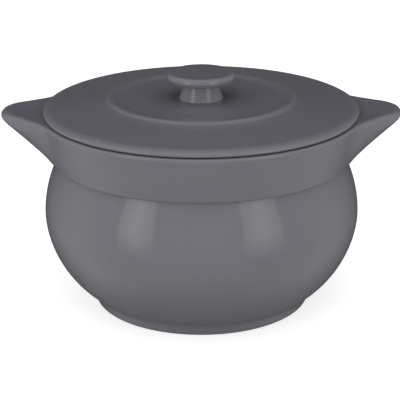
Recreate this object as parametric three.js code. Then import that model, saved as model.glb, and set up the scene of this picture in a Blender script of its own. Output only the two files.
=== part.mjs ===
// A lidded porcelain soup bowl: a round-bellied bowl on a foot ring, with a flared collar that
// carries two lug handles, and a loose lid with a locating flange and a disc knob.
// Millimetres, +Z up, the lugs along X, and the origin in the middle of the standing face.
import * as THREE from 'three';

// Foot ring, measured across its standing face and flared up to the belly
const footRadius = 69.5;
const footWidth = 8.5;
const footFlare = 2.2;
const footHeight = 7.4;
const footEdgeRadius = 1.4;

// Bowl, measured upwards from the top of the foot ring
const bellyRadius = 102.5;
const bellyRise = 53.4;
const neckRise = 36.9;
const neckRadius = 93.2;
const bowlWall = 5.5;
const floorThickness = 6.3;

// The lower belly is a superellipse that would run level this far below the top of the foot ring
const bellyPower = 1.8;
const bellyUndercut = 3.3;

// Collar, a straight flared band that stands proud of the neck
const collarHeight = 29.6;
const collarStep = 3.1;
const collarFlare = 7.5;
const collarChamfer = 1.2;
const rimWidth = 10.3;
const mouthRunOut = 5;

// Lug handles, which swell out of the collar and thin out along it on both sides
const lugLength = 25.2;
const lugHalfAngle = 14.2;
const lugSquareness = 2.7;
const lugBlendAngle = 6.2;
const lugRootEdge = 0.9;
const lugToe = 1.4;
const lugRise = 1.8;
const lugTipRadius = 3.6;
const slipJoint = 0.3;

// Lid plate
const seatGap = 0.3;
const lidSetback = 2.1;
const lidLipRadius = 1.2;
const lidSide = 2.9;
const lidBevelReach = 7.7;
const lidBevelDrop = 1.85;
const lidBevelBlend = 5.4;
const lidFall = 2.5;
const lidThickness = 6;

// Raised ridge on the lid and the shallow well inside it, which rises a little towards the knob
const ridgeRadius = 58.6;
const ridgeHeight = 2.05;
const ridgeOuterReach = 8.8;
const ridgeInnerReach = 6;
const wellDepth = 1.4;
const wellRise = 0.6;

// Locating flange under the lid
const flangeClearance = 1.5;
const flangeWall = 5;
const flangeDepth = 9;
const flangeChamfer = 1;
const recessReach = 16;

// Knob: a waisted stem under a thin disc, which is drawn in below and nearly sharp above
const stemBaseRadius = 14.3;
const stemTopRadius = 11.9;
const stemHeight = 12.1;
const capRadius = 22.1;
const capThickness = 4.9;
const capCrown = 0.2;
const capEdgeRadius = 1.8;
const capUndercut = 0.8;

// Smoothness of the round forms
const turnSegments = 48;
const curveSteps = 9;
const roundSteps = 3;
const lugSections = 24;
const lugTipSteps = 6;

// Heights that the pieces share
const bellyHeight = footHeight + bellyRise;
const collarBottom = bellyHeight + neckRise;
const rimTop = collarBottom + collarHeight;
const lidBottom = rimTop + seatGap;
const lidEdgeTop = lidBottom + lidSide;
const lidShoulderHeight = lidEdgeTop + lidBevelDrop;
const ridgeFootHeight = lidShoulderHeight + lidFall;
const ridgeTop = ridgeFootHeight + ridgeHeight;
const wellEdge = ridgeTop - wellDepth;
const wellFloor = wellEdge + wellRise;
const capBottom = wellFloor + stemHeight;

// Radii that the pieces share
const bellyFootRadius = footRadius + footFlare;
const neckBore = neckRadius - bowlWall;
const collarBottomRadius = neckRadius + collarStep;
const collarTopRadius = collarBottomRadius + collarFlare;
const lidRadius = collarTopRadius - lidSetback;
const mouthRadius = collarTopRadius - rimWidth;
const flangeRadius = mouthRadius - flangeClearance;
const flangeBore = flangeRadius - flangeWall;

// The fired glaze, which covers every piece
const glaze = { color: 0x6f6e75, roughness: 0.28, metalness: 0 };

/** A point of an outline: its distance from the axis and its height. */
function at(radius, height) {
  return new THREE.Vector2(radius, height);
}

/** Points along part of an ellipse, both ends included, with angles in degrees. */
function ellipseArc(centre, radii, fromDegrees, toDegrees, steps) {
  const from = THREE.MathUtils.degToRad(fromDegrees);
  const to = THREE.MathUtils.degToRad(toDegrees);
  const curve = new THREE.EllipseCurve(centre.x, centre.y, radii.x, radii.y, from, to, to < from);
  return curve.getPoints(steps);
}

/** Turns an outline, walked anticlockwise, about the Z axis. It ends on the axis or on itself. */
function turned(outline) {
  return new THREE.LatheGeometry(outline, turnSegments).rotateX(Math.PI / 2);
}

/** A closed outline for a ring: the first point again at the end. */
function ring(outline) {
  return [...outline, outline[0].clone()];
}

/** One side of the bowl's wall, from the floor up over the belly to the neck. */
function bellyCurve(bottom, widest, neck) {
  const runOut = bellyRise / (bellyRise + bellyUndercut);
  const quarter = (share) => (1 - share ** bellyPower) ** (1 / bellyPower);
  const drawnIn = (share) => (1 - quarter(runOut * share)) / (1 - quarter(runOut));
  const points = [];
  for (let step = curveSteps; step > 0; step -= 1) {
    const share = Math.sin((step / curveSteps) * (Math.PI / 2));
    const radius = widest.x - (widest.x - bottom.x) * drawnIn(share);
    points.push(at(radius, widest.y - (widest.y - bottom.y) * share));
  }
  for (let step = 0; step <= curveSteps; step += 1) {
    const share = step / curveSteps;
    const radius = widest.x - (widest.x - neck.x) * share ** 2;
    points.push(at(radius, widest.y + (neck.y - widest.y) * share));
  }
  return points;
}

/** The ring that the bowl stands on. */
function footRing() {
  const bore = footRadius - footWidth;
  const edge = at(footEdgeRadius, footEdgeRadius);
  return turned(ring([
    ...ellipseArc(at(bore + footEdgeRadius, footEdgeRadius), edge, 180, 270, roundSteps),
    ...ellipseArc(at(footRadius - footEdgeRadius, footEdgeRadius), edge, 270, 360, roundSteps),
    at(bellyFootRadius, footHeight),
    at(bore, footHeight),
  ]));
}

/** Floor, belly and neck, open at the top. */
function bowlBody() {
  const floorTop = footHeight + floorThickness;
  const outside = bellyCurve(at(bellyFootRadius, footHeight), at(bellyRadius, bellyHeight),
    at(neckRadius, collarBottom));
  const inside = bellyCurve(at(bellyFootRadius - bowlWall, floorTop),
    at(bellyRadius - bowlWall, bellyHeight), at(neckBore, collarBottom));
  return turned([at(0, footHeight), ...outside, ...inside.reverse(), at(0, floorTop)]);
}

/** The flared band on the neck, with the flat rim that the lid rests on. */
function rimCollar() {
  return turned(ring([
    at(neckBore, collarBottom),
    at(collarBottomRadius, collarBottom),
    at(collarTopRadius - (collarFlare * collarChamfer) / collarHeight, rimTop - collarChamfer),
    at(collarTopRadius - collarChamfer, rimTop),
    at(mouthRadius, rimTop),
    at(mouthRadius, lidBottom - flangeDepth - mouthRunOut),
  ]));
}

/** How far the lug stands out at an angle from its middle: 1 in the middle, falling to 0. */
function lugSwell(degrees) {
  return Math.exp(-(Math.abs(degrees / lugHalfAngle) ** lugSquareness));
}

/** The lug's outline in the upright plane at one angle from its middle. */
function lugOutline(degrees) {
  const swell = lugSwell(degrees);
  const toe = at(collarBottomRadius + slipJoint + lugRootEdge + lugToe * swell, collarBottom);
  const root = collarTopRadius + slipJoint + lugRootEdge;
  const reach = THREE.MathUtils.lerp(root, collarTopRadius + lugLength, swell);
  const edge = THREE.MathUtils.lerp(lugRootEdge / 2, lugTipRadius, swell);
  const tip = at(reach - edge, rimTop + lugRise * swell - edge);
  const slope = tip.clone().sub(toe);
  const tangent = slope.angle() - Math.asin(edge / slope.length());
  const start = THREE.MathUtils.radToDeg(tangent) - 90;
  return [
    at(collarBottomRadius + slipJoint, collarBottom),
    toe,
    ...ellipseArc(tip, at(edge, edge), start, 90, lugTipSteps),
    at(collarTopRadius + slipJoint, rimTop),
  ];
}

/** A lug handle on the +X side: its outlines from one root to the other, skinned and capped. */
function lugHandle() {
  const positions = [];
  const triangles = [];
  let count = 0;
  for (let section = 0; section <= lugSections; section += 1) {
    const degrees = (lugHalfAngle + lugBlendAngle) * ((2 * section) / lugSections - 1);
    const angle = THREE.MathUtils.degToRad(degrees);
    const outline = lugOutline(degrees);
    count = outline.length;
    outline.forEach((point) => {
      positions.push(point.x * Math.cos(angle), point.x * Math.sin(angle), point.y);
    });
  }
  for (let section = 0; section < lugSections; section += 1) {
    for (let side = 0; side < count; side += 1) {
      const here = section * count + side;
      const next = section * count + ((side + 1) % count);
      triangles.push(here, next + count, next, here, here + count, next + count);
    }
  }
  const last = lugSections * count;
  for (let side = 1; side < count - 1; side += 1) {
    triangles.push(0, side, side + 1, last, last + side + 1, last + side);
  }
  const geometry = new THREE.BufferGeometry();
  geometry.setAttribute('position', new THREE.Float32BufferAttribute(positions, 3));
  geometry.setIndex(triangles);
  return geometry;
}

/** The lid's round plate, with its bevelled edge, raised ridge and well, hollowed underneath. */
function lidPlate() {
  const under = wellFloor - lidThickness;
  const lip = at(lidRadius - lidLipRadius, lidBottom + lidLipRadius);
  const edge = at(lidRadius, lidEdgeTop);
  const shoulder = at(lidRadius - lidBevelReach, lidShoulderHeight);
  const slopeEnd = at(ridgeRadius + ridgeOuterReach, ridgeFootHeight);
  const along = (end) => shoulder.clone().add(end.clone().sub(shoulder).setLength(lidBevelBlend));
  const bevel = new THREE.QuadraticBezierCurve(along(edge), shoulder, along(slopeEnd));
  const crest = new THREE.SplineCurve([
    slopeEnd,
    at(ridgeRadius + ridgeOuterReach / 2, ridgeFootHeight + ridgeHeight / 4),
    at(ridgeRadius, ridgeTop),
    at(ridgeRadius - ridgeInnerReach / 2, ridgeTop - wellDepth / 2),
    at(ridgeRadius - ridgeInnerReach, wellEdge),
  ]);
  return turned([
    at(0, under),
    at(flangeBore - recessReach, under),
    at(flangeBore, lidBottom),
    ...ellipseArc(lip, at(lidLipRadius, lidLipRadius), 270, 360, roundSteps),
    edge,
    ...bevel.getPoints(2 * roundSteps),
    ...crest.getPoints(3 * roundSteps),
    at(stemBaseRadius, wellFloor),
    at(0, wellFloor),
  ]);
}

/** The ring under the lid that drops inside the bowl's mouth and keeps the lid in place. */
function lidFlange() {
  const flangeBottom = lidBottom - flangeDepth;
  return turned(ring([
    at(flangeBore, flangeBottom),
    at(flangeRadius - flangeChamfer, flangeBottom),
    at(flangeRadius, flangeBottom + flangeChamfer),
    at(flangeRadius, lidBottom),
    at(flangeBore, lidBottom),
  ]));
}

/** The knob that the lid is lifted by. */
function lidKnob() {
  const waist = at(stemBaseRadius, capBottom);
  const stem = at(stemBaseRadius - stemTopRadius, stemHeight);
  const capSide = capThickness - capCrown - capEdgeRadius;
  const below = at(capRadius - capUndercut, capBottom + capSide);
  const above = at(capRadius - capEdgeRadius, capBottom + capSide);
  return turned([
    at(0, wellFloor),
    ...ellipseArc(waist, stem, 270, 180, 2 * roundSteps),
    ...ellipseArc(below, at(capUndercut, capSide), 270, 360, 2 * roundSteps),
    ...ellipseArc(above, at(capEdgeRadius, capEdgeRadius), 0, 90, roundSteps).slice(1),
    at(0, capBottom + capThickness),
  ]);
}

const bowl = new THREE.Group();

/** Adds a named, glazed piece, turned about the bowl's axis. */
function addPiece(name, geometry, turnedBy = 0) {
  const piece = new THREE.Mesh(geometry, new THREE.MeshStandardMaterial(glaze));
  piece.name = name;
  piece.rotation.z = turnedBy;
  bowl.add(piece);
}

addPiece('foot_ring', footRing());
addPiece('bowl_body', bowlBody());
addPiece('rim_collar', rimCollar());
addPiece('lug_handle_right', lugHandle());
addPiece('lug_handle_left', lugHandle(), Math.PI);
addPiece('lid_plate', lidPlate());
addPiece('lid_flange', lidFlange());
addPiece('lid_knob', lidKnob());

export default bowl;
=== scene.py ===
"""Lidded porcelain soup bowl: the glazed meshes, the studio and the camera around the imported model.

Every length is in metres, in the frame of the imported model: +Z up, the lugs along X, and the origin in
the middle of the face that the foot ring stands on.
"""

import logging
import math
from dataclasses import dataclass
from enum import Enum

import bmesh
import bpy
from mathutils import Matrix, Vector

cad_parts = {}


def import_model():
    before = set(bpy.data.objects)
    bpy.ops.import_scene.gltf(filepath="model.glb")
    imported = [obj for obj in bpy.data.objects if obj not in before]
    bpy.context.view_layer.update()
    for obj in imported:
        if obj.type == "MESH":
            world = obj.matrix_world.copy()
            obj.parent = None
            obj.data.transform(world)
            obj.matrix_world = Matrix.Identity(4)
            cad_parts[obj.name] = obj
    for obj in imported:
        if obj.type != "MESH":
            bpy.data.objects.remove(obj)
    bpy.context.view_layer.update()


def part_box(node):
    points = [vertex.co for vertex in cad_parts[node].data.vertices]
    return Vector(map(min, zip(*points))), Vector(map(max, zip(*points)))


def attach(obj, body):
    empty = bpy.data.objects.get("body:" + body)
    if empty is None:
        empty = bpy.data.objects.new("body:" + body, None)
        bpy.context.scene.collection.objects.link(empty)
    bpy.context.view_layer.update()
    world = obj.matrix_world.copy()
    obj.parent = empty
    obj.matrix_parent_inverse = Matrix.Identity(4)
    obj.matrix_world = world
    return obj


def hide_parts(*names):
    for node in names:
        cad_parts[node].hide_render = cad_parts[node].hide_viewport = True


LOG = logging.getLogger("soup_bowl")
MM = 0.001
QUARTER = 0.5 * math.pi
# Corners of a mesh that lie closer together than this become one.
WELD = 0.001 * MM
# Lengths below this count as none.
NEAR = 0.01 * MM
# Edges that bend by more than this stay sharp.
SHARP = math.radians(40.0)

Colour = tuple[float, float, float]
Direction = tuple[float, float, float]
RIGHT: Direction = (1.0, 0.0, 0.0)
BACK: Direction = (0.0, 1.0, 0.0)
UP: Direction = (0.0, 0.0, 1.0)


class Body(Enum):
    """The two loose pieces that the fired object comes apart in."""

    BOWL = "bowl"
    LID = "lid"


class Dress(Enum):
    """Material slots of a piece, in the order that they are added to its mesh."""

    GLAZE = 0
    BARE = 1


# Meshes


@dataclass(frozen=True)
class Corner:
    """A corner of a turned outline.

    Attributes:
        radius: Distance from the bowl's axis.
        height: Height above the standing face.
        cut: How far from the corner its rounding starts, along both sides. Zero keeps it sharp.
    """

    radius: float
    height: float
    cut: float = 0.0


@dataclass(frozen=True)
class Turning:
    """How an outline is turned into a mesh.

    Attributes:
        steps: Faces round the axis.
        longest: The longest stretch of outline that stays in one face.
        arc_steps: Faces in the rounding of a corner.
    """

    steps: int = 256
    longest: float = 4 * MM
    arc_steps: int = 6

    def mesh(self, corners: list[Corner], closed: bool) -> bmesh.types.BMesh:
        """Turn an outline about the Z axis.

        Args:
            corners: The outline's corners, in order.
            closed: Whether the outline closes on itself. Otherwise it starts and ends on the axis.

        Returns:
            A closed mesh with its faces pointing outwards.
        """
        shape = bmesh.new()
        points = [shape.verts.new((corner.radius, 0.0, corner.height)) for corner in corners]
        ends = points[1:] + points[:1] if closed else points[1:]
        for start, end in zip(points, ends):
            shape.edges.new((start, end))
        for point, corner in zip(points, corners):
            if corner.cut > 0.0:
                bmesh.ops.bevel(
                    shape, geom=[point], offset=corner.cut, offset_type="OFFSET", affect="VERTICES",
                    segments=self.arc_steps, profile=0.5, material=-1)
        for edge in list(shape.edges):
            cuts = math.ceil(edge.calc_length() / self.longest) - 1
            if cuts > 0:
                bmesh.ops.subdivide_edges(shape, edges=[edge], cuts=cuts)
        bmesh.ops.spin(
            shape, geom=list(shape.verts) + list(shape.edges), cent=(0.0, 0.0, 0.0), axis=UP,
            dvec=(0.0, 0.0, 0.0), angle=math.tau, steps=self.steps, use_merge=True)
        bmesh.ops.remove_doubles(shape, verts=list(shape.verts), dist=WELD)
        bmesh.ops.recalc_face_normals(shape, faces=list(shape.faces))
        return shape


@dataclass(frozen=True)
class GlazeThinning:
    """Where the glaze runs thin: a number for each vertex, 1 on tight convex edges and 0 elsewhere.

    Attributes:
        attribute: Name of the mesh attribute.
        flat: Bend of the surface, in radians a metre, at which thinning starts.
        tight: Bend at which the glaze is thinnest.
        passes: How often the numbers are evened out with their neighbours.
    """

    attribute: str = "glaze_thin"
    flat: float = 60.0
    tight: float = 420.0
    passes: int = 3

    def bend(self, vertex: bmesh.types.BMVert) -> float:
        """Return the strongest convex bend of the surface at a vertex."""
        strongest = 0.0
        for edge in vertex.link_edges:
            if len(edge.link_faces) != 2:
                continue
            first, second = (face.calc_center_median() for face in edge.link_faces)
            width = max((first - second).length, NEAR)
            strongest = max(strongest, edge.calc_face_angle_signed(0.0) / width)
        return strongest

    def mark(self, shape: bmesh.types.BMesh) -> None:
        """Write the thinning of every vertex into the mesh.

        Args:
            shape: The finished mesh.
        """
        layer = shape.verts.layers.float.new(self.attribute)
        for vertex in shape.verts:
            vertex[layer] = share_of(self.bend(vertex), self.flat, self.tight)
        for _ in range(self.passes):
            evened = {}
            for vertex in shape.verts:
                around = [edge.other_vert(vertex)[layer] for edge in vertex.link_edges]
                evened[vertex] = 0.5 * vertex[layer] + 0.5 * sum(around) / len(around)
            for vertex, value in evened.items():
                vertex[layer] = value


def share_of(value: float, start: float, end: float) -> float:
    """Return how far a value lies between two others, from 0 to 1."""
    return min(max((value - start) / (end - start), 0.0), 1.0)


def eased(share: float) -> float:
    """Return a share that grows slowly at both ends and faster between."""
    return share * share * (3.0 - 2.0 * share)


def linked(name: str, shape: bmesh.types.BMesh, materials: list[bpy.types.Material]) -> bpy.types.Object:
    """Make an object at the origin out of a mesh in its place.

    Args:
        name: The object's name.
        shape: The mesh, which is used up.
        materials: Its materials, in slot order.

    Returns:
        The object, linked to the scene.
    """
    mesh = bpy.data.meshes.new(name)
    shape.to_mesh(mesh)
    shape.free()
    for material in materials:
        mesh.materials.append(material)
    item = bpy.data.objects.new(name, mesh)
    bpy.context.scene.collection.objects.link(item)
    return item


def finished(name: str, shape: bmesh.types.BMesh, materials: list[bpy.types.Material]) -> bpy.types.Object:
    """Make a piece of the object out of a mesh in its place.

    Args:
        name: The piece's name.
        shape: The mesh, which is used up.
        materials: Its materials, in slot order.

    Returns:
        The piece, smooth but for its sharp edges.
    """
    GlazeThinning().mark(shape)
    piece = linked(name, shape, materials)
    piece.data.shade_smooth()
    piece.data.set_sharp_from_angle(angle=SHARP)
    return piece


# Finishes


class NodeBoard:
    """The nodes of a material or a world, with short calls to add and join them."""

    def __init__(self, owner: bpy.types.ID) -> None:
        """Start without nodes.

        Args:
            owner: The material or the world.
        """
        owner.use_nodes = True
        self.owner = owner
        self.tree = owner.node_tree
        self.tree.nodes.clear()

    @classmethod
    def named(cls, name: str) -> "NodeBoard":
        """Start a new material.

        Args:
            name: The material's name.

        Returns:
            Its board.
        """
        return cls(bpy.data.materials.new(name))

    def add(self, kind: str, **settings: object) -> bpy.types.Node:
        """Add a node and set its plain properties.

        Args:
            kind: The node's type name.
            **settings: Properties of the node by name.

        Returns:
            The new node.
        """
        node = self.tree.nodes.new(kind)
        for name, value in settings.items():
            setattr(node, name, value)
        return node

    def join(self, source: bpy.types.NodeSocket, target: bpy.types.NodeSocket) -> None:
        """Join an output to an input."""
        self.tree.links.new(source, target)

    def noise(self, scale: float, detail: float = 3.0) -> bpy.types.NodeSocket:
        """Add noise on the piece's own coordinates.

        Args:
            scale: Waves a metre.
            detail: Octaves of finer noise.

        Returns:
            The noise's value, from 0 to 1.
        """
        place = self.add("ShaderNodeTexCoord")
        noise = self.add("ShaderNodeTexNoise")
        noise.inputs["Scale"].default_value = scale
        noise.inputs["Detail"].default_value = detail
        self.join(place.outputs["Object"], noise.inputs["Vector"])
        return noise.outputs["Fac"]

    def ranged(self, value: bpy.types.NodeSocket, low: float, high: float,
               start: float = 0.3, end: float = 0.7) -> bpy.types.NodeSocket:
        """Map a value onto a range, smoothly and without going beyond it.

        Args:
            value: The value's socket.
            low: Result at start.
            high: Result at end.
            start: Value that gives low.
            end: Value that gives high.

        Returns:
            The mapped value.
        """
        node = self.add("ShaderNodeMapRange", interpolation_type="SMOOTHSTEP")
        for socket, number in (("From Min", start), ("From Max", end), ("To Min", low), ("To Max", high)):
            node.inputs[socket].default_value = number
        self.join(value, node.inputs["Value"])
        return node.outputs["Result"]

    def times(self, first: bpy.types.NodeSocket, second: bpy.types.NodeSocket) -> bpy.types.NodeSocket:
        """Return the product of two values."""
        node = self.add("ShaderNodeMath", operation="MULTIPLY")
        self.join(first, node.inputs[0])
        self.join(second, node.inputs[1])
        return node.outputs["Value"]

    def along(self, place: bpy.types.NodeSocket, way: Direction) -> bpy.types.NodeSocket:
        """Return how far a place lies along a direction.

        Args:
            place: The place's coordinates.
            way: The direction.

        Returns:
            The distance.
        """
        node = self.add("ShaderNodeVectorMath", operation="DOT_PRODUCT")
        node.inputs[1].default_value = way
        self.join(place, node.inputs[0])
        return node.outputs["Value"]

    def blend(self, share: bpy.types.NodeSocket, first: object, second: object) -> bpy.types.NodeSocket:
        """Mix two colours.

        Args:
            share: How much of the second colour there is.
            first: A colour, or the socket of one.
            second: The other colour, or its socket.

        Returns:
            The mixed colour.
        """
        node = self.add("ShaderNodeMix", data_type="RGBA")
        self.join(share, node.inputs["Factor"])
        # The node takes its colours at sockets 6 and 7 and gives the mixed one at 2.
        for socket, colour in ((node.inputs[6], first), (node.inputs[7], second)):
            if isinstance(colour, bpy.types.NodeSocket):
                self.join(colour, socket)
            else:
                socket.default_value = (*colour, 1.0)
        return node.outputs[2]

    def mixed(self, share: bpy.types.NodeSocket, first: bpy.types.NodeSocket,
              second: bpy.types.NodeSocket) -> bpy.types.NodeSocket:
        """Mix two shaders.

        Args:
            share: How much of the second shader there is.
            first: A shader.
            second: The other shader.

        Returns:
            The mixed shader.
        """
        node = self.add("ShaderNodeMixShader")
        self.join(share, node.inputs["Fac"])
        self.join(first, node.inputs[1])
        self.join(second, node.inputs[2])
        return node.outputs["Shader"]

    def surface(self, shader: bpy.types.NodeSocket, kind: str = "ShaderNodeOutputMaterial") -> bpy.types.ID:
        """Set the surface.

        Args:
            shader: The surface's shader.
            kind: Type name of the output node.

        Returns:
            The material or the world.
        """
        output = self.add(kind)
        self.join(shader, output.inputs["Surface"])
        return self.owner


@dataclass(frozen=True)
class GreyGlaze:
    """The glossy dark grey glaze: cloudy in tone, lighter where it runs thin, faintly rippled.

    Attributes:
        deep: Colour where the glaze is thick.
        even: Its main colour.
        speck: Colour of the fine specks.
        thin: Colour on edges, where the body shows through a little.
        clouds: Waves a metre of the broad changes of tone.
        grain: Waves a metre of the fine specks.
        speck_share: How much of their colour the specks have at most.
        speck_limits: Noise at which a speck starts, and at which it is full.
        ripple: Waves a metre of the ripple in the surface.
        ripple_depth: Depth of that ripple.
        gloss: Lowest and highest roughness.
        gloss_clouds: Waves a metre of the changes of roughness.
        refraction: Index of refraction.
        thinning: The mesh attribute that tells where the glaze is thin.
    """

    deep: Colour = (0.1265, 0.123, 0.1435)
    even: Colour = (0.132, 0.1285, 0.149)
    speck: Colour = (0.113, 0.1095, 0.1295)
    thin: Colour = (0.139, 0.1355, 0.1555)
    clouds: float = 24.0
    grain: float = 1000.0
    speck_share: float = 0.65
    speck_limits: tuple[float, float] = (0.5, 0.75)
    ripple: float = 170.0
    ripple_depth: float = 0.012 * MM
    gloss: tuple[float, float] = (0.05, 0.08)
    gloss_clouds: float = 72.0
    refraction: float = 1.5
    thinning: GlazeThinning = GlazeThinning()

    def material(self) -> bpy.types.Material:
        """Build the node material.

        Returns:
            The glaze, for every piece that carries it.
        """
        board = NodeBoard.named("grey_glaze")
        tone = board.ranged(board.noise(self.clouds), 0.0, 1.0)
        base = board.blend(tone, self.deep, self.even)
        grain = board.noise(self.grain, detail=1.0)
        base = board.blend(board.ranged(grain, 0.0, self.speck_share, *self.speck_limits), base, self.speck)
        thin = board.add("ShaderNodeAttribute", attribute_name=self.thinning.attribute)
        base = board.blend(thin.outputs["Fac"], base, self.thin)
        gloss = board.ranged(board.noise(self.gloss_clouds), *self.gloss)
        bump = board.add("ShaderNodeBump")
        bump.inputs["Strength"].default_value = 1.0
        bump.inputs["Distance"].default_value = self.ripple_depth
        board.join(board.noise(self.ripple), bump.inputs["Height"])
        shader = board.add("ShaderNodeBsdfPrincipled")
        shader.inputs["IOR"].default_value = self.refraction
        board.join(base, shader.inputs["Base Color"])
        board.join(gloss, shader.inputs["Roughness"])
        board.join(bump.outputs["Normal"], shader.inputs["Normal"])
        return board.surface(shader.outputs["BSDF"])


@dataclass(frozen=True)
class BarePorcelain:
    """The unglazed body on the edges that stand in the kiln: pale, dry and finely grained.

    Attributes:
        pale: Its main colour.
        stained: Colour of the faint stains of use.
        stains: Waves a metre of the stains.
        stain_limits: Noise at which a stain starts, and at which it is full.
        grain: Waves a metre of the grain.
        grain_depth: Depth of the grain.
        gloss: Lowest and highest roughness.
    """

    pale: Colour = (0.56, 0.54, 0.5)
    stained: Colour = (0.4, 0.385, 0.36)
    stains: float = 60.0
    stain_limits: tuple[float, float] = (0.45, 0.75)
    grain: float = 2600.0
    grain_depth: float = 0.03 * MM
    gloss: tuple[float, float] = (0.62, 0.8)

    def material(self) -> bpy.types.Material:
        """Build the node material.

        Returns:
            The bare body.
        """
        board = NodeBoard.named("bare_porcelain")
        grain = board.noise(self.grain, detail=2.0)
        stain = board.ranged(board.noise(self.stains), 0.0, 1.0, *self.stain_limits)
        bump = board.add("ShaderNodeBump")
        bump.inputs["Distance"].default_value = self.grain_depth
        board.join(grain, bump.inputs["Height"])
        shader = board.add("ShaderNodeBsdfPrincipled")
        board.join(board.blend(stain, self.pale, self.stained), shader.inputs["Base Color"])
        board.join(board.ranged(grain, *self.gloss), shader.inputs["Roughness"])
        board.join(bump.outputs["Normal"], shader.inputs["Normal"])
        return board.surface(shader.outputs["BSDF"])


@dataclass
class Finishes:
    """The materials of the object, made once.

    Attributes:
        glaze: The glaze that covers nearly everything.
        bare: The bare body under the foot ring and the lid's flange.
    """

    glaze: bpy.types.Material
    bare: bpy.types.Material

    @classmethod
    def fired(cls) -> "Finishes":
        """Make the materials."""
        return cls(GreyGlaze().material(), BarePorcelain().material())

    def slots(self) -> list[bpy.types.Material]:
        """Return the materials in the order of Dress."""
        return [self.glaze, self.bare]


def lay_bare(shape: bmesh.types.BMesh, height: float, depth: float = 0.35 * MM,
             steepest: float = -0.5) -> None:
    """Give the bare body to the faces that look down at a height.

    Args:
        shape: The mesh.
        height: Height of the bare face.
        depth: How far from that height the middle of a bare face may lie.
        steepest: The highest that the Z part of its normal may be.
    """
    shape.normal_update()
    for face in shape.faces:
        low = abs(face.calc_center_median().z - height) < depth
        if low and face.normal.z < steepest:
            face.material_index = Dress.BARE.value


def placed(piece: bpy.types.Object, body: Body, *nodes: str) -> bpy.types.Object:
    """Tie a piece to its body, hide the CAD nodes that it stands for, and report it.

    Args:
        piece: The piece.
        body: The body that it rides on.
        *nodes: The CAD nodes that it stands for.

    Returns:
        The piece.
    """
    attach(piece, body.value)
    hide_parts(*nodes)
    LOG.info("%s rides on %s for %s", piece.name, body.value, ", ".join(nodes))
    return piece


# The bowl


@dataclass
class BowlBody:
    """Floor, belly and neck, with the whole inside up to the collar.

    Attributes:
        belly_height: Height of the widest line.
        power: Power of the superellipse that the lower belly follows.
        undercut: How far below the foot ring's top that curve would run level.
        neck_radius: Outer radius at the collar's foot, without the fillet.
        foot_radius: Outer radius at the foot ring's top.
        pool: Size of the fillet of glaze between the neck and the collar's underside.
        pool_steps: Faces in that fillet.
        wall: Thickness of the wall.
        floor: Thickness of the floor.
        neck_bore: Radius of the inside at the collar's foot.
        curve_steps: Corners in each half of a curve.
    """

    belly_height: float = 60.8 * MM
    power: float = 1.8
    undercut: float = 6.5 * MM
    neck_radius: float = 93.2 * MM
    foot_radius: float = 71.7 * MM
    pool: float = 1.5 * MM
    pool_steps: int = 8
    wall: float = 5.5 * MM
    floor: float = 6.3 * MM
    neck_bore: float = 88.6 * MM
    curve_steps: int = 22

    def __post_init__(self) -> None:
        """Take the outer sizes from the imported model."""
        low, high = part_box("bowl_body")
        self.bottom = low.z
        self.top = high.z
        self.belly_radius = high.x

    def drawn_in(self, share: float) -> float:
        """Return how far the belly has drawn in at a share of the way down to the foot."""
        rise = self.belly_height - self.bottom
        run_out = rise / (rise + self.undercut)

        def quarter(part: float) -> float:
            """Return the superellipse's height at a part of its width."""
            return (1.0 - part ** self.power) ** (1.0 / self.power)

        return (1.0 - quarter(run_out * share)) / (1.0 - quarter(run_out))

    def lower(self, foot: float, foot_height: float, widest: float) -> list[Corner]:
        """Return the curve from the foot up to the widest line, that line left out.

        Args:
            foot: Radius at the foot.
            foot_height: Height there.
            widest: Radius of the widest line.

        Returns:
            The corners, from the bottom up.
        """
        corners = []
        for step in range(self.curve_steps, 0, -1):
            share = math.sin(QUARTER * step / self.curve_steps)
            radius = widest - (widest - foot) * self.drawn_in(share)
            corners.append(Corner(radius, self.belly_height - (self.belly_height - foot_height) * share))
        return corners

    def upper(self, widest: float, neck: float, level_end: bool) -> list[Corner]:
        """Return the curve from the widest line up to the neck.

        Args:
            widest: Radius of the widest line.
            neck: Radius at the neck.
            level_end: Whether the wall stands upright again at the neck.

        Returns:
            The corners, from the bottom up.
        """
        corners = []
        for step in range(self.curve_steps + 1):
            share = step / self.curve_steps
            drawn = eased(share) if level_end else share * share
            height = self.belly_height + (self.top - self.belly_height) * share
            corners.append(Corner(widest - (widest - neck) * drawn, height))
        return corners

    def pooled(self) -> list[Corner]:
        """Return the fillet of glaze from the neck out along the collar's underside."""
        lean = 2.0 * (self.belly_radius - self.neck_radius) / (self.top - self.belly_height)
        corners = []
        for step in range(self.pool_steps + 1):
            share = step / self.pool_steps
            below = (1.0 - share) ** 2
            radius = self.neck_radius + self.pool * (lean * below + share * share)
            corners.append(Corner(radius, self.top - self.pool * below))
        return corners

    def build(self, finishes: Finishes) -> bpy.types.Object:
        """Model the piece and put it in the CAD node's place.

        Args:
            finishes: The object's materials.

        Returns:
            The piece.
        """
        floor_top = self.bottom + self.floor
        inner = self.belly_radius - self.wall
        inside = self.lower(self.foot_radius - self.wall, floor_top, inner)
        inside += self.upper(inner, self.neck_bore, True)
        outline = [Corner(0.0, self.bottom)]
        outline += self.lower(self.foot_radius, self.bottom, self.belly_radius)
        outline += self.upper(self.belly_radius, self.neck_radius, False)[:-1]
        outline += self.pooled()
        outline += inside[::-1]
        outline.append(Corner(0.0, floor_top))
        shape = Turning().mesh(outline, closed=False)
        return self.dress(finished("bowl_body_glazed", shape, finishes.slots()))

    def dress(self, piece: bpy.types.Object) -> bpy.types.Object:
        """Say what the piece rides on and stands for."""
        return placed(piece, Body.BOWL, "bowl_body")


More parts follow.
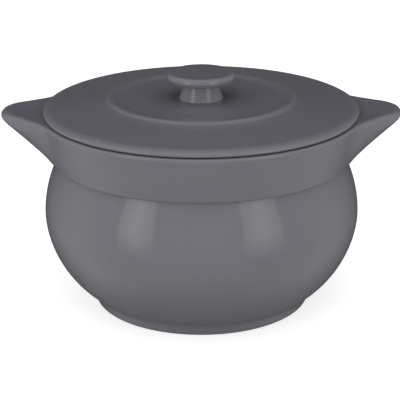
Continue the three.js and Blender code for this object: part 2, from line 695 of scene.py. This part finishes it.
@dataclass
class FootRing:
    """The ring that the bowl stands on, with its bare standing face.

    Attributes:
        bore: Inner radius.
        standing_radius: Outer radius at the standing face, if its edge were sharp.
        inner_edge: Rounding of the lower edge on the inside.
        outer_edge: Rounding of the lower edge on the outside.
        flare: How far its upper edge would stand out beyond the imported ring, if it were sharp.
        lift: How far that edge would stand above it.
        fillet: Length of the fillet, along both sides, where the ring runs into the belly.
        overlap: How far the ring goes up the belly.
        sunk: How far its upper end is let into the belly.
        root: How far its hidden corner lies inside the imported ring's radius.
        turning: How its outline is turned.
    """

    bore: float = 61.0 * MM
    standing_radius: float = 69.9 * MM
    inner_edge: float = 1.5 * MM
    outer_edge: float = 1.8 * MM
    flare: float = 1.2 * MM
    lift: float = 0.2 * MM
    fillet: float = 2.0 * MM
    overlap: float = 2.6 * MM
    sunk: float = 0.05 * MM
    root: float = 3.0 * MM
    turning: Turning = Turning(longest=1.5 * MM)

    def build(self, finishes: Finishes) -> bpy.types.Object:
        """Model the piece and put it in the CAD node's place.

        Args:
            finishes: The object's materials.

        Returns:
            The piece.
        """
        low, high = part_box("foot_ring")
        belly = BowlBody()
        reach = high.z + self.overlap
        share = (belly.belly_height - reach) / (belly.belly_height - belly.bottom)
        skin = belly.belly_radius - (belly.belly_radius - belly.foot_radius) * belly.drawn_in(share)
        outline = [
            Corner(self.bore, high.z),
            Corner(self.bore, low.z, self.inner_edge),
            Corner(self.standing_radius, low.z, self.outer_edge),
            Corner(high.x + self.flare, high.z + self.lift, self.fillet),
            Corner(skin - self.sunk, reach),
            Corner(high.x - self.root, high.z + 0.5 * self.overlap),
        ]
        shape = self.turning.mesh(outline, closed=True)
        lay_bare(shape, low.z)
        return self.dress(finished("foot_ring_glazed", shape, finishes.slots()))

    def dress(self, piece: bpy.types.Object) -> bpy.types.Object:
        """Say what the piece rides on and stands for."""
        return placed(piece, Body.BOWL, "foot_ring")


@dataclass
class CollarWithLugs:
    """The flared collar, its rim and the two lugs that swell out of it without a seam.

    Attributes:
        bottom_radius: Outer radius at the collar's foot.
        top_radius: Outer radius at the rim.
        mouth_radius: Inner radius at the rim.
        mouth_bottom: Height where the mouth starts to narrow.
        mouth_steps: Faces in the curve by which it narrows.
        neck_bore: Inner radius at the collar's foot.
        rim_edge: Rounding of the rim's outer edge.
        mouth_edge: Rounding of the rim's inner edge.
        foot_edge: Rounding of the collar's lower edge.
        lug_half_angle: Angle from a lug's middle at which most of it is gone.
        lug_squareness: Power of the swelling: larger makes the lug blunter.
        lug_toe: How far the lug stands out at the collar's foot.
        lug_rise: How far the tip is turned up.
        lug_edge: Length of the rounding of the lug's upper edge, along both sides.
        edge_grown: How much of the lug there is where that rounding has its full length.
        lug_overhang: How far the tip would reach beyond its rounding.
        stretch_start: Radius inside which the rim isn't drawn out into the lugs.
        inside_depth: Distance from the outer face beyond which a point belongs to the inside.
        inside_height: Height above the collar's foot from which that holds.
        underside_start: Distance from the bore at which the underside starts to be drawn out.
        turning: How its outline is turned.
    """

    bottom_radius: float = 96.3 * MM
    top_radius: float = 103.8 * MM
    mouth_radius: float = 93.5 * MM
    mouth_bottom: float = 113.6 * MM
    mouth_steps: int = 12
    neck_bore: float = 88.6 * MM
    rim_edge: float = 1.9 * MM
    mouth_edge: float = 1.4 * MM
    foot_edge: float = 1.2 * MM
    lug_half_angle: float = math.radians(14.4)
    lug_squareness: float = 2.7
    lug_toe: float = 1.8 * MM
    lug_rise: float = 1.8 * MM
    lug_edge: float = 10.6 * MM
    edge_grown: float = 0.65
    lug_overhang: float = 5.1 * MM
    stretch_start: float = 97.0 * MM
    inside_depth: float = 2.0 * MM
    inside_height: float = 1.5 * MM
    underside_start: float = 2.0 * MM
    turning: Turning = Turning(steps=480, longest=1.0 * MM)

    def __post_init__(self) -> None:
        """Take the heights and the lugs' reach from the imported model."""
        low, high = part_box("rim_collar")
        self.bottom = low.z
        self.rim = high.z
        self.lug_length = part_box("lug_handle_right")[1].x - self.top_radius

    def outline(self) -> list[Corner]:
        """Return the collar's section, from the inner lower corner round by the outside."""
        flare = self.mouth_radius - self.neck_bore
        rise = self.mouth_bottom - self.bottom
        inside = []
        for step in range(1, self.mouth_steps):
            share = 1.0 - step / self.mouth_steps
            inside.append(Corner(self.neck_bore + flare * eased(share), self.bottom + rise * share))
        return [
            Corner(self.neck_bore, self.bottom),
            Corner(self.bottom_radius, self.bottom, self.foot_edge),
            Corner(self.top_radius, self.rim, self.rim_edge),
            Corner(self.mouth_radius, self.rim, self.mouth_edge),
            Corner(self.mouth_radius, self.mouth_bottom),
            *inside,
        ]

    def swell(self, point: Vector) -> float:
        """Return how much of the lug there is at a point's angle, from 0 to 1."""
        angle = math.atan2(abs(point.y), abs(point.x))
        return math.exp(-((angle / self.lug_half_angle) ** self.lug_squareness))

    def drawn_out(self, point: Vector) -> Vector:
        """Move a point of the plain collar to where the lugs take it.

        Args:
            point: A point on the plain turned collar.

        Returns:
            Its place on the collar with lugs.
        """
        swell = self.swell(point)
        radius = math.hypot(point.x, point.y)
        height = self.rim - self.bottom
        lean = (self.top_radius - self.bottom_radius) / height
        drop = self.rim - point.z
        inset = self.top_radius - lean * drop - radius
        edge_drop = self.rim_edge / math.hypot(1.0, lean)
        reach = (self.lug_length + self.lug_overhang) * swell
        corner = Vector((self.top_radius + reach, self.lug_rise * swell))
        toe = Vector((self.bottom_radius + self.lug_toe * swell, -height))
        down = (toe - corner).normalized()
        edge = self.rim_edge + (self.lug_edge - self.rim_edge) * share_of(swell, 0.0, self.edge_grown)
        spot = Vector((radius, -drop))
        inside = inset > self.inside_depth and drop < height - self.inside_height
        if inside and radius < self.stretch_start:
            return point
        if drop < NEAR and inset > self.rim_edge - NEAR:
            share = share_of(radius, self.stretch_start, self.top_radius - self.rim_edge)
            end = corner.x - edge
            spot = Vector((self.stretch_start + (end - self.stretch_start) * share, corner.y * share * share))
        elif drop < edge_drop - NEAR:
            spot = corner + down * (edge * drop / edge_drop)
            spot.x -= edge * inset / self.rim_edge
        elif inset < NEAR:
            start = corner + down * edge
            spot = start.lerp(toe, (drop - edge_drop) / (height - edge_drop))
        else:
            start = self.neck_bore + self.underside_start
            spot.x += self.lug_toe * swell * share_of(radius, start, self.bottom_radius - self.foot_edge)
        scale = spot.x / radius
        return Vector((point.x * scale, point.y * scale, self.rim + spot.y))

    def build(self, finishes: Finishes) -> bpy.types.Object:
        """Model the piece and put it in the CAD nodes' place.

        Args:
            finishes: The object's materials.

        Returns:
            The piece.
        """
        shape = self.turning.mesh(self.outline(), closed=True)
        for vertex in shape.verts:
            vertex.co = self.drawn_out(vertex.co)
        return self.dress(finished("rim_collar_with_lugs", shape, finishes.slots()))

    def dress(self, piece: bpy.types.Object) -> bpy.types.Object:
        """Say what the piece rides on and stands for."""
        return placed(piece, Body.BOWL, "rim_collar", "lug_handle_right", "lug_handle_left")


# The lid


@dataclass
class Lid:
    """The lid's plate and the flange under it, fired in one.

    Attributes:
        side: Height of the plate's upright edge.
        lip: Rounding of its lower corner.
        roll: Reach and drop of the roll from the plate's slope to its edge, a quarter of an ellipse.
        roll_start: Where on that quarter the plate's slope runs into it.
        roll_steps: Faces in the roll.
        slope_end: Radius and height where the plate's slope gets steeper.
        slope_edge: Rounding there.
        ridge_foot: Radius and height of the ridge's foot on the outside.
        foot_edge: Rounding there.
        ridge_crest: Radius and height of the ridge's crest, if it were sharp.
        ridge_edge: Length of the crest's rounding, along both sides.
        well_side: Radius and height of the ridge's foot on the inside.
        well_edge: Rounding there.
        well_floor: Height of the well at the knob.
        knob_seat: Radius of the level seat of the knob.
        seat_edge: Rounding of the well where that seat starts.
        under: Height of the underside in the middle.
        recess_radius: Radius of the level part of the underside.
        recess_edge: Rounding where that part ends.
        flange_bore: Inner radius of the flange.
        flange_edge: Rounding of its lower edges.
        flange_root: Rounding where it meets the plate.
        turning: How its outline is turned.
    """

    side: float = 1.4 * MM
    lip: float = 1.35 * MM
    roll: tuple[float, float] = (10.5 * MM, 3.1 * MM)
    roll_start: float = math.radians(20.0)
    roll_steps: int = 18
    slope_end: tuple[float, float] = (67.4 * MM, 134.85 * MM)
    slope_edge: float = 1.0 * MM
    ridge_foot: tuple[float, float] = (61.7 * MM, 135.75 * MM)
    foot_edge: float = 1.2 * MM
    ridge_crest: tuple[float, float] = (57.9 * MM, 137.4 * MM)
    ridge_edge: float = 1.6 * MM
    well_side: tuple[float, float] = (52.0 * MM, 136.0 * MM)
    well_edge: float = 2.5 * MM
    well_floor: float = 136.1 * MM
    knob_seat: float = 14.3 * MM
    seat_edge: float = 6.0 * MM
    under: float = 130.1 * MM
    recess_radius: float = 71.0 * MM
    recess_edge: float = 6.0 * MM
    flange_bore: float = 87.0 * MM
    flange_edge: float = 1.6 * MM
    flange_root: float = 1.5 * MM
    turning: Turning = Turning(longest=2.0 * MM, arc_steps=10)

    def rolled_edge(self, radius: float, height: float) -> list[Corner]:
        """Return the roll from the top of the upright edge to the plate's slope.

        Args:
            radius: Radius of the upright edge.
            height: Height of its top.

        Returns:
            The corners, from the edge inwards.
        """
        reach, drop = self.roll
        corners = []
        for step in range(self.roll_steps + 1):
            turn = QUARTER + (self.roll_start - QUARTER) * step / self.roll_steps
            corners.append(Corner(radius - reach * (1.0 - math.sin(turn)), height + drop * math.cos(turn)))
        return corners

    def outline(self) -> list[Corner]:
        """Return half of the lid's section, from the middle of the underside to the middle of the top."""
        plate_low, plate_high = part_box("lid_plate")
        flange_low, flange_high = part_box("lid_flange")
        return [
            Corner(0.0, self.under),
            Corner(self.recess_radius, self.under, self.recess_edge),
            Corner(self.flange_bore, plate_low.z, self.flange_root),
            Corner(self.flange_bore, flange_low.z, self.flange_edge),
            Corner(flange_high.x, flange_low.z, self.flange_edge),
            Corner(flange_high.x, plate_low.z, self.flange_root),
            Corner(plate_high.x, plate_low.z, self.lip),
            *self.rolled_edge(plate_high.x, plate_low.z + self.side),
            Corner(*self.slope_end, self.slope_edge),
            Corner(*self.ridge_foot, self.foot_edge),
            Corner(*self.ridge_crest, self.ridge_edge),
            Corner(*self.well_side, self.well_edge),
            Corner(self.knob_seat, self.well_floor, self.seat_edge),
            Corner(0.0, self.well_floor),
        ]

    def build(self, finishes: Finishes) -> bpy.types.Object:
        """Model the piece and put it in the CAD nodes' place.

        Args:
            finishes: The object's materials.

        Returns:
            The piece.
        """
        shape = self.turning.mesh(self.outline(), closed=False)
        lay_bare(shape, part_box("lid_flange")[0].z)
        return self.dress(finished("lid_with_flange", shape, finishes.slots()))

    def dress(self, piece: bpy.types.Object) -> bpy.types.Object:
        """Say what the piece rides on and stands for."""
        return placed(piece, Body.LID, "lid_plate", "lid_flange")


@dataclass
class Knob:
    """The knob: a stem that flares towards the lid, under a disc with a full, round edge.

    Attributes:
        stem_base: Radius of the stem's foot.
        stem_top: Radius under the disc.
        sunk: How far the stem's foot is let into the lid.
        disc_bottom: Height of the disc's underside.
        bottom_radius: Radius of the disc's underside, if its edge were sharp.
        bottom_edge: Rounding of that edge.
        widest: Height of the disc's widest line.
        widest_edge: Rounding there.
        top_radius: Radius at which the disc's top starts to fall to its edge, if that were sharp.
        top_edge: Rounding of that fall.
        crown: How far the disc's middle stands above that edge.
        throat: Rounding between the stem and the disc.
        flare: Power of the stem's curve: larger keeps the flare closer to the lid.
        steps: Corners in the stem's curve.
        turning: How its outline is turned.
    """

    stem_base: float = 14.5 * MM
    stem_top: float = 11.9 * MM
    sunk: float = 0.3 * MM
    disc_bottom: float = 147.5 * MM
    bottom_radius: float = 21.7 * MM
    bottom_edge: float = 0.9 * MM
    widest: float = 150.6 * MM
    widest_edge: float = 1.2 * MM
    top_radius: float = 21.0 * MM
    top_edge: float = 1.9 * MM
    crown: float = 0.2 * MM
    throat: float = 0.9 * MM
    flare: float = 2.0
    steps: int = 20
    turning: Turning = Turning(steps=192, longest=2.0 * MM, arc_steps=10)

    def build(self, finishes: Finishes) -> bpy.types.Object:
        """Model the piece and put it in the CAD node's place.

        Args:
            finishes: The object's materials.

        Returns:
            The piece.
        """
        low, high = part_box("lid_knob")
        outline = [
            Corner(0.0, low.z - self.sunk),
            Corner(self.stem_base, low.z - self.sunk),
        ]
        rise = self.disc_bottom - low.z
        for step in range(self.steps):
            share = step / self.steps
            radius = self.stem_top + (self.stem_base - self.stem_top) * (1.0 - share) ** self.flare
            outline.append(Corner(radius, low.z + rise * share))
        outline += [
            Corner(self.stem_top, self.disc_bottom, self.throat),
            Corner(self.bottom_radius, self.disc_bottom, self.bottom_edge),
            Corner(high.x, self.widest, self.widest_edge),
            Corner(self.top_radius, high.z - self.crown, self.top_edge),
            Corner(0.0, high.z),
        ]
        shape = self.turning.mesh(outline, closed=False)
        return self.dress(finished("lid_knob_glazed", shape, finishes.slots()))

    def dress(self, piece: bpy.types.Object) -> bpy.types.Object:
        """Say what the piece rides on and stands for."""
        return placed(piece, Body.LID, "lid_knob")


# The studio


@dataclass(frozen=True)
class Softbox:
    """A tall glowing panel that faces the bowl, brightest along its middle, and fades out towards its foot.

    Attributes:
        name: The panel's name.
        bearing: Its bearing from the camera's axis, to the right.
        glow: Its brightness.
        distance: Its distance from the bowl's axis.
        width: Its width.
        bottom: Height of its lower edge.
        top: Height of its upper edge.
        fade: Height over which it fades out at its lower edge.
        edge: Share of the brightness that is left at its upright edges.
    """

    name: str
    bearing: float
    glow: float
    distance: float = 1.2
    width: float = 0.54
    bottom: float = -0.38
    top: float = 0.75
    fade: float = 0.54
    edge: float = 0.5

    def cloth(self) -> bpy.types.Material:
        """Return the panel's material, which is clear where the panel has faded out."""
        board = NodeBoard.named(self.name)
        place = board.add("ShaderNodeTexCoord").outputs["Object"]
        height = board.along(place, UP)
        across = board.along(place, (math.cos(self.bearing), math.sin(self.bearing), 0.0))
        aside = board.add("ShaderNodeMath", operation="ABSOLUTE")
        board.join(across, aside.inputs[0])
        fade = board.ranged(height, 0.0, 1.0, self.bottom, self.bottom + self.fade)
        middle = board.ranged(aside.outputs["Value"], 1.0, self.edge, 0.0, 0.5 * self.width)
        clear = board.add("ShaderNodeBsdfTransparent")
        glow = board.add("ShaderNodeEmission")
        glow.inputs["Strength"].default_value = self.glow
        share = board.times(fade, middle)
        return board.surface(board.mixed(share, clear.outputs["BSDF"], glow.outputs["Emission"]))

    def build(self) -> None:
        """Hang the panel out of the camera's sight."""
        shape = bmesh.new()
        # A square with sides of one metre, which is then stretched and stood up.
        bmesh.ops.create_grid(shape, x_segments=1, y_segments=1, size=0.5)
        spot = Vector((math.sin(self.bearing), -math.cos(self.bearing), 0.0)) * self.distance
        spot.z = 0.5 * (self.top + self.bottom)
        size = Matrix.Diagonal((self.width, self.top - self.bottom, 1.0, 1.0))
        stand = Matrix.Rotation(self.bearing, 4, "Z") @ Matrix.Rotation(QUARTER, 4, "X")
        bmesh.ops.transform(shape, matrix=Matrix.Translation(spot) @ stand @ size, verts=list(shape.verts))
        panel = linked(self.name, shape, [self.cloth()])
        panel.visible_camera = False


@dataclass(frozen=True)
class Ramp:
    """A smooth change of the light of the surroundings along a direction.

    Attributes:
        way: The direction.
        start: How far a view has to point that way for the change to start, from -1 to 1.
        end: How far it has to point that way for the change to end.
        low: The light, or the share of it, up to the start.
        high: The light, or the share of it, from the end on.
    """

    way: Direction
    start: float
    end: float
    low: float
    high: float

    def light(self, board: NodeBoard, view: bpy.types.NodeSocket) -> bpy.types.NodeSocket:
        """Return the light, or the share of it, in the direction of a view.

        Args:
            board: The nodes of the surroundings.
            view: The direction of the view.

        Returns:
            The light or the share.
        """
        return board.ranged(board.along(view, self.way), self.low, self.high, self.start, self.end)


@dataclass
class Studio:
    """A pale floor, a soft wrap of light from the front and two tall softboxes.

    Attributes:
        floor_radius: Radius of the floor.
        floor_sides: Edges round the floor.
        floor_white: Reflectance of the floor.
        floor_glow: Light that the floor adds for the camera, so that it comes out near white.
        front_to_back: Brightness of the surroundings.
        ahead: Share of that brightness straight in front.
        left_to_right: Share of it on either side.
        overhead: Share of it straight above.
        underneath: Share of it straight below.
        shaded: Share of it below and behind, where the bowl keeps the light off the floor.
        unlit: Share of it behind and above, where the studio is dark and the lid mirrors it.
        boxes: The softboxes.
    """

    floor_radius: float = 6.0
    floor_sides: int = 96
    floor_white: float = 0.63
    floor_glow: float = 0.66
    front_to_back: Ramp = Ramp(BACK, start=0.0, end=1.05, low=1.48, high=0.1)
    ahead: Ramp = Ramp(BACK, start=-1.0, end=-0.55, low=1.08, high=1.0)
    left_to_right: Ramp = Ramp(RIGHT, start=-1.0, end=1.0, low=0.94, high=0.84)
    overhead: Ramp = Ramp(UP, start=0.5, end=0.95, low=1.0, high=1.05)
    underneath: Ramp = Ramp(UP, start=-1.0, end=-0.65, low=0.6, high=1.0)
    shaded: Ramp = Ramp((0.0, 0.6, -0.8), start=0.55, end=1.0, low=1.0, high=0.5)
    unlit: Ramp = Ramp((0.0, 0.934, 0.358), start=0.93, end=0.996, low=1.0, high=0.1)
    boxes: tuple[Softbox, ...] = (
        Softbox("softbox_left", math.radians(-46.0), 2.7),
        Softbox("softbox_right", math.radians(42.4), 2.4, width=0.6),
    )

    def build(self) -> None:
        """Set up the floor, the surroundings and the softboxes."""
        self.floor()
        self.surroundings()
        for box in self.boxes:
            box.build()

    def floor(self) -> None:
        """Lay the floor, which shows only from above and isn't mirrored in the glaze."""
        shape = bmesh.new()
        bmesh.ops.create_circle(shape, cap_ends=True, segments=self.floor_sides, radius=self.floor_radius)
        board = NodeBoard.named("pale_floor")
        paint = board.add("ShaderNodeBsdfDiffuse")
        paint.inputs["Color"].default_value = (self.floor_white, self.floor_white, self.floor_white, 1.0)
        glow = board.add("ShaderNodeEmission")
        ray = board.add("ShaderNodeLightPath")
        seen = board.ranged(ray.outputs["Is Camera Ray"], 0.0, self.floor_glow, 0.0, 1.0)
        board.join(seen, glow.inputs["Strength"])
        both = board.add("ShaderNodeAddShader")
        board.join(paint.outputs["BSDF"], both.inputs[0])
        board.join(glow.outputs["Emission"], both.inputs[1])
        side = board.add("ShaderNodeNewGeometry")
        clear = board.add("ShaderNodeBsdfTransparent")
        top = board.mixed(side.outputs["Backfacing"], both.outputs["Shader"], clear.outputs["BSDF"])
        floor = linked("floor", shape, [board.surface(top)])
        floor.visible_glossy = False

    def surroundings(self) -> None:
        """Wrap the bowl in light that fades from the front to the back, white where the camera sees it."""
        world = bpy.data.worlds.new("studio")
        bpy.context.scene.world = world
        board = NodeBoard(world)
        view = board.add("ShaderNodeTexCoord").outputs["Generated"]
        shares = (self.ahead, self.left_to_right, self.overhead, self.underneath, self.shaded, self.unlit)
        light = self.front_to_back.light(board, view)
        for share in shares:
            light = board.times(light, share.light(board, view))
        wrap = board.add("ShaderNodeBackground")
        board.join(light, wrap.inputs["Strength"])
        white = board.add("ShaderNodeBackground")
        white.inputs["Color"].default_value = (1.0, 1.0, 1.0, 1.0)
        ray = board.add("ShaderNodeLightPath")
        seen = ray.outputs["Is Camera Ray"]
        both = board.mixed(seen, wrap.outputs["Background"], white.outputs["Background"])
        board.surface(both, "ShaderNodeOutputWorld")


@dataclass(frozen=True)
class PhotoCamera:
    """The camera at the photograph's angle.

    Attributes:
        aim: The point that it looks at.
        distance: Distance to that point.
        elevation: How far it looks down.
        roll: How far it is tilted about its own axis.
        focal: Focal length in widths of the picture.
        sensor: Width of its sensor in millimetres.
    """

    aim: tuple[float, float, float] = (-1.0 * MM, 0.0, 65.85 * MM)
    distance: float = 1.0
    elevation: float = math.radians(19.67)
    roll: float = math.radians(0.24)
    focal: float = 3.795
    sensor: float = 36.0

    def build(self) -> None:
        """Place the camera and make it the scene's."""
        lens = bpy.data.cameras.new("photo_camera")
        lens.sensor_width = self.sensor
        lens.lens = self.focal * self.sensor
        camera = bpy.data.objects.new("photo_camera", lens)
        bpy.context.scene.collection.objects.link(camera)
        back = Vector((0.0, -math.cos(self.elevation), math.sin(self.elevation)))
        tilt = Matrix.Rotation(QUARTER - self.elevation, 4, "X")
        roll = Matrix.Rotation(-self.roll, 4, "Z")
        camera.matrix_world = Matrix.Translation(Vector(self.aim) + back * self.distance) @ tilt @ roll
        bpy.context.scene.camera = camera


def plain_colours() -> None:
    """Show colours as they are lit, with no filmic curve."""
    view = bpy.context.scene.view_settings
    view.view_transform = "Standard"
    view.look = "None"


def main() -> None:
    """Build the bowl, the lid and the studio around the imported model."""
    logging.basicConfig(level=logging.INFO, format="%(name)s: %(message)s")
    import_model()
    finishes = Finishes.fired()
    for assembly in (BowlBody(), FootRing(), CollarWithLugs(), Lid(), Knob()):
        assembly.build(finishes)
    Studio().build()
    PhotoCamera().build()
    plain_colours()


if __name__ == "__main__":
    main()
